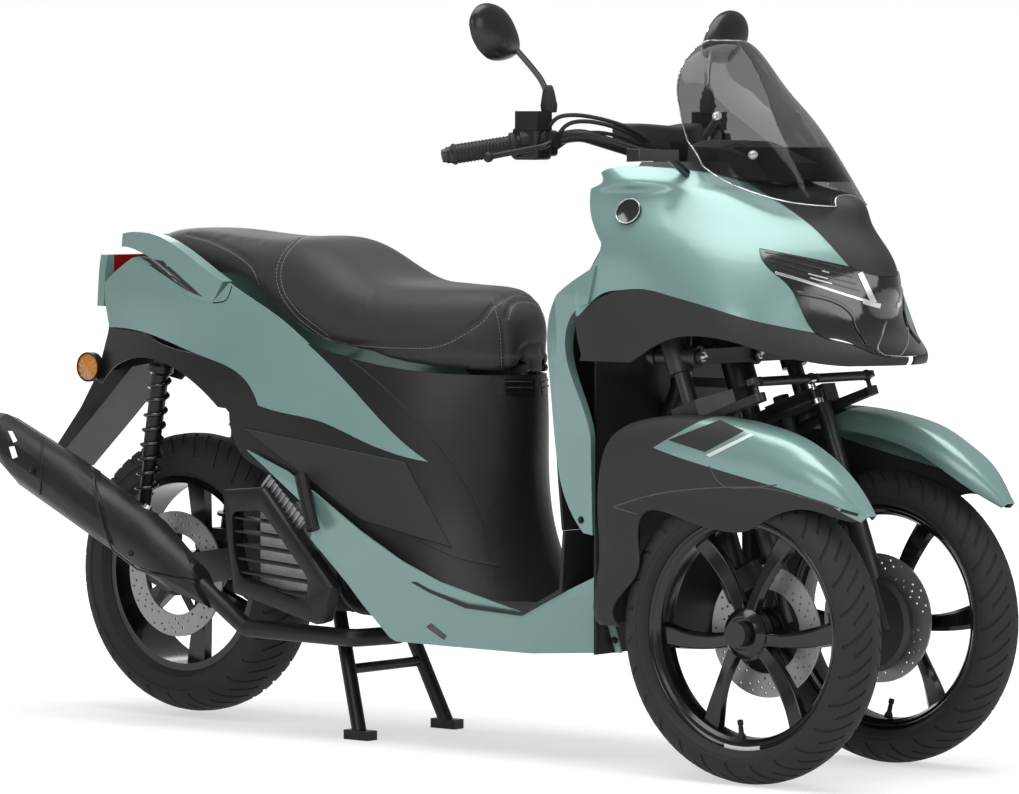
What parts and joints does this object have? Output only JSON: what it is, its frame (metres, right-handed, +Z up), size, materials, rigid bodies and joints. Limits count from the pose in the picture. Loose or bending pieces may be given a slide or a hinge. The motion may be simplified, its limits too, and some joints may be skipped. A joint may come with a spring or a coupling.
{
  "type": "leaning reverse trike",
  "caption": "Scooter-type motorcycle with a pair of leaning, steered front wheels on a parallelogram link, parked on its centre stand.",
  "frame": {"origin": "on the floor, under the middle of the length and width", "axes": "+X forward, +Y left, +Z up"},
  "size_m": [1.995, 0.7779, 1.2898],
  "materials": {
    "panel_mint": "satin painted plastic",
    "body_black": "grained charcoal plastic",
    "gloss_black": "gloss black plastic",
    "frame_paint": "black painted steel",
    "engine_metal": "cast aluminium",
    "spring_black": "black coil spring",
    "pipe_steel": "heat-stained steel",
    "muffler_black": "satin black",
    "radiator_fins": "bare fins",
    "lamp_red": "red lens",
    "lamp_glass": "clear lens",
    "screen_smoke": "smoked clear plastic",
    "bare_aluminium": "satin",
    "bright_steel": "ground steel",
    "cast_arm": "dark grey casting",
    "fork_black": "satin black",
    "caliper_black": "black",
    "grip_rubber": "soft black",
    "tyre": "worn black",
    "rim_black": "gloss black",
    "seat_vinyl": "grained black vinyl"
  },
  "bodies": {
    "chassis": {"frame": "frame_paint", "engine": "engine_metal", "rear_shocks": "spring_black", "exhaust_pipe": "pipe_steel", "muffler": "muffler_black", "radiator": "radiator_fins", "radiator_cover": "body_black", "lower_body": "panel_mint", "underbody": "body_black", "floor": "body_black", "side_covers": "body_black", "tail_panels": "panel_mint", "grab_rail": "panel_mint", "tail_lamp": "lamp_red", "rear_fender": "body_black", "storage_tub": "body_black", "leg_shield": "panel_mint", "inner_shield": "body_black", "front_cowl": "panel_mint", "arch_trim": "body_black", "nose": "body_black", "headlamps": "lamp_glass", "lamp_face": "gloss_black", "windscreen": "screen_smoke", "turn_signals": "lamp_glass", "dashboard": "body_black", "passenger_pegs": "bare_aluminium"},
    "steering": {"handlebar": "frame_paint", "bar_controls": "grip_rubber", "mirrors": "gloss_black"},
    "tie_rod_ball": {"tie_rod_stud": "bright_steel"},
    "tie_rod": {"tie_rod": "bare_aluminium"},
    "upper_link": {"upper_arm": "cast_arm"},
    "lower_link": {"lower_arm": "cast_arm"},
    "carrier_l": {"carrier_left": "cast_arm"},
    "carrier_r": {"carrier_right": "cast_arm"},
    "fork_l": {"fork_left": "fork_black", "front_caliper_left": "caliper_black", "fender_left": "panel_mint", "fender_skirt_left": "body_black"},
    "fork_r": {"fork_right": "fork_black", "front_caliper_right": "caliper_black", "fender_right": "panel_mint", "fender_skirt_right": "body_black"},
    "wheel_l": {"front_tyre_left": "tyre", "front_rim_left": "rim_black", "front_disc_left": "bright_steel"},
    "wheel_r": {"front_tyre_right": "tyre", "front_rim_right": "rim_black", "front_disc_right": "bright_steel"},
    "wheel_rear": {"rear_tyre": "tyre", "rear_rim": "rim_black", "rear_disc": "bright_steel"},
    "seat": {"seat": "seat_vinyl"},
    "centre_stand": {"centre_stand": "frame_paint"}
  },
  "joints": [
    {"name": "steer", "type": "hinge", "parent": "chassis", "child": "steering", "pos_m": [0.52432, 0, 0.8], "axis": [-0.342, 0, 0.9397], "range_deg": [-32, 32]},
    {"name": "lean", "type": "hinge", "parent": "chassis", "child": "upper_link", "pos_m": [0.53342, 0, 0.775], "axis": [1, 0, 0], "range_deg": [-35, 35]},
    {"name": "lower_link_pivot", "type": "hinge", "parent": "chassis", "child": "lower_link", "pos_m": [0.56072, 0, 0.7], "axis": [1, 0, 0], "range_deg": [-35, 35]},
    {"name": "tie_rod_swivel", "type": "hinge", "parent": "steering", "child": "tie_rod_ball", "pos_m": [0.72159, 0, 0.66151], "axis": [-0.342, 0, 0.9397], "range_deg": [-32, 32]},
    {"name": "tie_rod_tilt", "type": "hinge", "parent": "tie_rod_ball", "child": "tie_rod", "pos_m": [0.72159, 0, 0.66151], "axis": [1, 0, 0], "range_deg": [-35, 35]},
    {"name": "carrier_l_pivot", "type": "hinge", "parent": "upper_link", "child": "carrier_l", "pos_m": [0.53342, 0.16, 0.775], "axis": [1, 0, 0], "range_deg": [-35, 35]},
    {"name": "fork_l_kingpin", "type": "hinge", "parent": "carrier_l", "child": "fork_l", "pos_m": [0.56072, 0.16, 0.7], "axis": [-0.342, 0, 0.9397], "range_deg": [-32, 32]},
    {"name": "wheel_l_spin", "type": "hinge", "parent": "fork_l", "child": "wheel_l", "pos_m": [0.7475, 0.2, 0.25], "axis": [0, 1, 0], "continuous": true},
    {"name": "carrier_r_pivot", "type": "hinge", "parent": "upper_link", "child": "carrier_r", "pos_m": [0.53342, -0.16, 0.775], "axis": [1, 0, 0], "range_deg": [-35, 35]},
    {"name": "fork_r_kingpin", "type": "hinge", "parent": "carrier_r", "child": "fork_r", "pos_m": [0.56072, -0.16, 0.7], "axis": [-0.342, 0, 0.9397], "range_deg": [-32, 32]},
    {"name": "wheel_r_spin", "type": "hinge", "parent": "fork_r", "child": "wheel_r", "pos_m": [0.7475, -0.2, 0.25], "axis": [0, 1, 0], "continuous": true},
    {"name": "rear_wheel_spin", "type": "hinge", "parent": "chassis", "child": "wheel_rear", "pos_m": [-0.6625, 0, 0.264], "axis": [0, 1, 0], "continuous": true},
    {"name": "seat_hinge", "type": "hinge", "parent": "chassis", "child": "seat", "pos_m": [0.128, 0, 0.662], "axis": [0, 1, 0], "range_deg": [0, 60]},
    {"name": "stand_pivot", "type": "hinge", "parent": "chassis", "child": "centre_stand", "pos_m": [-0.2575, 0, 0.24], "axis": [0, 1, 0], "range_deg": [0, 90]}
  ],
  "couplings": [
    {"joint": "lower_link_pivot", "follows": "lean", "ratio": 1},
    {"joint": "tie_rod_swivel", "follows": "steer", "ratio": -1},
    {"joint": "tie_rod_tilt", "follows": "lean", "ratio": 1},
    {"joint": "carrier_l_pivot", "follows": "lean", "ratio": -1},
    {"joint": "fork_l_kingpin", "follows": "steer", "ratio": 1},
    {"joint": "carrier_r_pivot", "follows": "lean", "ratio": -1},
    {"joint": "fork_r_kingpin", "follows": "steer", "ratio": 1}
  ]
}
